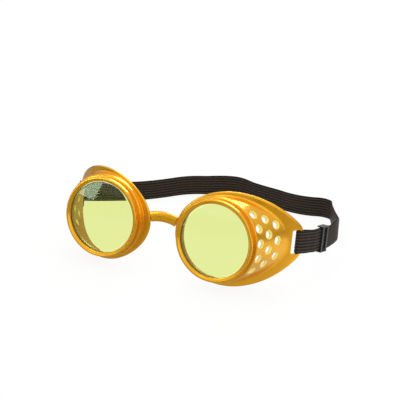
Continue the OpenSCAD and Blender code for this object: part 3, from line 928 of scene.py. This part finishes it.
def slider_distance(points):
    """Rails at both ends joined to the three bars with small fillets."""
    bars = [((0, 0, end * (slider_slot + rail_height) / 2),
             (slider_length, slider_depth, rail_height)) for end in (-1, 1)]
    bars += [((end * (slider_length - slider_bar_width) / 2,
               -slider_inner - slider_bar_thickness / 2, 0),
              (slider_bar_width, slider_bar_thickness, slider_height)) for end in (-1, 1)]
    bars += [((0, slider_inner + slider_bar_thickness / 2, 0),
              (slider_bar_width, slider_bar_thickness, slider_height))]
    result = bar_distance(points, *bars[0])
    for middle, size in bars[1:]:
        result = soft_min(result, bar_distance(points, middle, size), slider_edge)
    return result


black_plastic, tree, shader = new_material("black_plastic", Specular_IOR_Level=0.6)
mould = grain(tree, 700.0, 0.16, 0.3)
feed(tree, shader.inputs["Base Color"],
     ramp(tree, mould.outputs["Mask"],
          (0.0, (0.006, 0.006, 0.006)), (1.0, (0.016, 0.015, 0.014))))
feed(tree, shader.inputs["Roughness"], mould.outputs["Mask"])
add_bump(tree, shader, mould.outputs["Height"], 0.00002, 0.3)
half = np.array([slider_length, slider_depth, slider_height]) / 2 + slider_margin
points, quads, normals = skin(slider_distance, -half, half, slider_step)
run = drop(run_start + run_marks[[0, -1], None] * run_course, bar[0], 1)
run_way = unit(run[1] - run[0])
run_up = unit(goggles_up - (goggles_up @ run_way) * run_way)
run_out = np.cross(run_way, run_up)
share = (slider_at - run_start[1]) / run_course[1]
slider_middle = drop((run_start + share * run_course)[None], bar[0], 1)[0]
axes = np.stack([run_way, -run_out, run_up])
placed = (slider_middle + points @ axes + table_drop) * MM
slider = add_piece("slider_adjuster", placed, [quads], black_plastic, normals @ axes)
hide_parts("strap_slider")
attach(slider, "slider")

# Table, backdrop and light
# The goggles stand on a white table in a pale studio with soft boxes above, behind and in
# front. In reflections the table shows a painted pool of light round a spot beside the goggles,
# fading to painted dark far off. None of it is part of the object.
table_size = 2.4
white = (1, 1, 1, 1)
# Painted light on the mirrored table: brightest round this spot and dimmer with distance; the
# camera sees the table plain white.
painted_light_centre = (0.12, 0.03, 0.0)
painted_light_falloff = ((0.05, 1.0), (0.1, 0.58), (0.2, 0.42), (0.65, 0.38), (0.9, 0.03))


def seen_white(tree, colour):
    """White where the camera looks, straight or through a lens, and that colour where the
    surface is mirrored; with the share of such looks, 0 or 1."""
    path = add_node(tree, "ShaderNodeLightPath")
    looks = combine(tree, "MAXIMUM", path.outputs["Is Camera Ray"],
                    path.outputs["Is Transmission Ray"])
    return mixed(tree, looks, colour, white), looks, path.outputs["Is Glossy Ray"]


table_white, tree, shader = new_material("table_white")
tree.nodes.remove(shader)
place = add_node(tree, "ShaderNodeTexCoord")
shift = add_node(tree, "ShaderNodeVectorMath", operation="SUBTRACT")
feed(tree, shift.inputs[0], place.outputs["Object"])
feed(tree, shift.inputs[1], painted_light_centre)
reach = add_node(tree, "ShaderNodeVectorMath", operation="LENGTH")
feed(tree, reach.inputs[0], shift.outputs["Vector"])
painted_light_pool = ramp(tree, reach.outputs["Value"], *((at, (v, v, v)) for at, v in painted_light_falloff))
tone, looks, mirrored = seen_white(tree, painted_light_pool)
weight = combine(tree, "MAXIMUM", combine(tree, "MULTIPLY", looks, 0.9), mirrored)
matt = add_node(tree, "ShaderNodeBsdfDiffuse", Color=(0.95, 0.95, 0.95, 1))
glow = add_node(tree, "ShaderNodeEmission", Color=tone, Strength=1.0)
mix = add_node(tree, "ShaderNodeMixShader", Fac=weight)
feed(tree, mix.inputs[1], matt.outputs[0])
feed(tree, mix.inputs[2], glow.outputs[0])
feed(tree, tree.nodes["Material Output"].inputs["Surface"], mix.outputs[0])
s = table_size / 2
table = add_piece("white_table", np.array([[-s, -s, 0], [s, -s, 0], [s, s, 0], [-s, s, 0]]),
                  [np.array([[0, 1, 2, 3]])], table_white, smooth=False)

window_side = (0.94, -0.34, 0.0)
world = bpy.data.worlds.new("studio")
bpy.context.scene.world = world
world.use_nodes = True
tree = world.node_tree
place = add_node(tree, "ShaderNodeTexCoord").outputs["Generated"]
split = add_node(tree, "ShaderNodeSeparateXYZ", Vector=place)
sky = ramp(tree, split.outputs["Z"],
           (0.0, (0.43, 0.43, 0.43)), (0.35, (0.8, 0.8, 0.8)), (1.0, (0.9, 0.9, 0.9)))
sideways = add_node(tree, "ShaderNodeVectorMath", operation="DOT_PRODUCT")
feed(tree, sideways.inputs[0], place)
feed(tree, sideways.inputs[1], window_side)
glow_sum = add_node(tree, "ShaderNodeVectorMath", operation="ADD")
feed(tree, glow_sum.inputs[0], sky)
feed(tree, glow_sum.inputs[1], remap(tree, sideways.outputs["Value"], 0.5, 0.95, 0.0, 0.4))
tone, looks, mirrored = seen_white(tree, glow_sum.outputs["Vector"])
feed(tree, tree.nodes["Background"].inputs["Color"], tone)


def soft_box(name, place, target, width, height, radiance, roll=0.0, tint=(1, 1, 1)):
    """A rectangular area lamp that faces a point, rolled about that line. Its power in watts
    is its radiance times its area times pi."""
    data = bpy.data.lights.new(name, "AREA")
    data.shape = "RECTANGLE"
    data.size = width
    data.size_y = height
    data.energy = radiance * width * height * math.pi
    data.color = tint
    lamp = bpy.data.objects.new(name, data)
    bpy.context.scene.collection.objects.link(lamp)
    back = unit(np.array(place, float) - np.array(target, float))
    level = unit(np.cross([0, 0, 1.0], back))
    upright = np.cross(back, level)
    right = math.cos(roll) * level + math.sin(roll) * upright
    up = np.cross(back, right)
    lamp.matrix_world = Matrix([[right[i], up[i], back[i], place[i]] for i in range(3)]
                               + [[0, 0, 0, 1]])


soft_box("top_box", (-0.15, 0.1, 1.1), (0.0, 0.0, 0.02), 0.7, 0.7, 1.6)
soft_box("rear_box", (-0.12, 0.83, 0.5), (0.05, -0.03, 0.05), 0.6, 0.42, 4.2)
soft_box("front_card", (-0.514, -0.891, 0.215), (-0.05, -0.05, 0.1), 0.12, 0.42, 4.2,
         math.radians(-17), (0.8, 1.0, 0.9))

bpy.context.scene.view_settings.view_transform = "Standard"
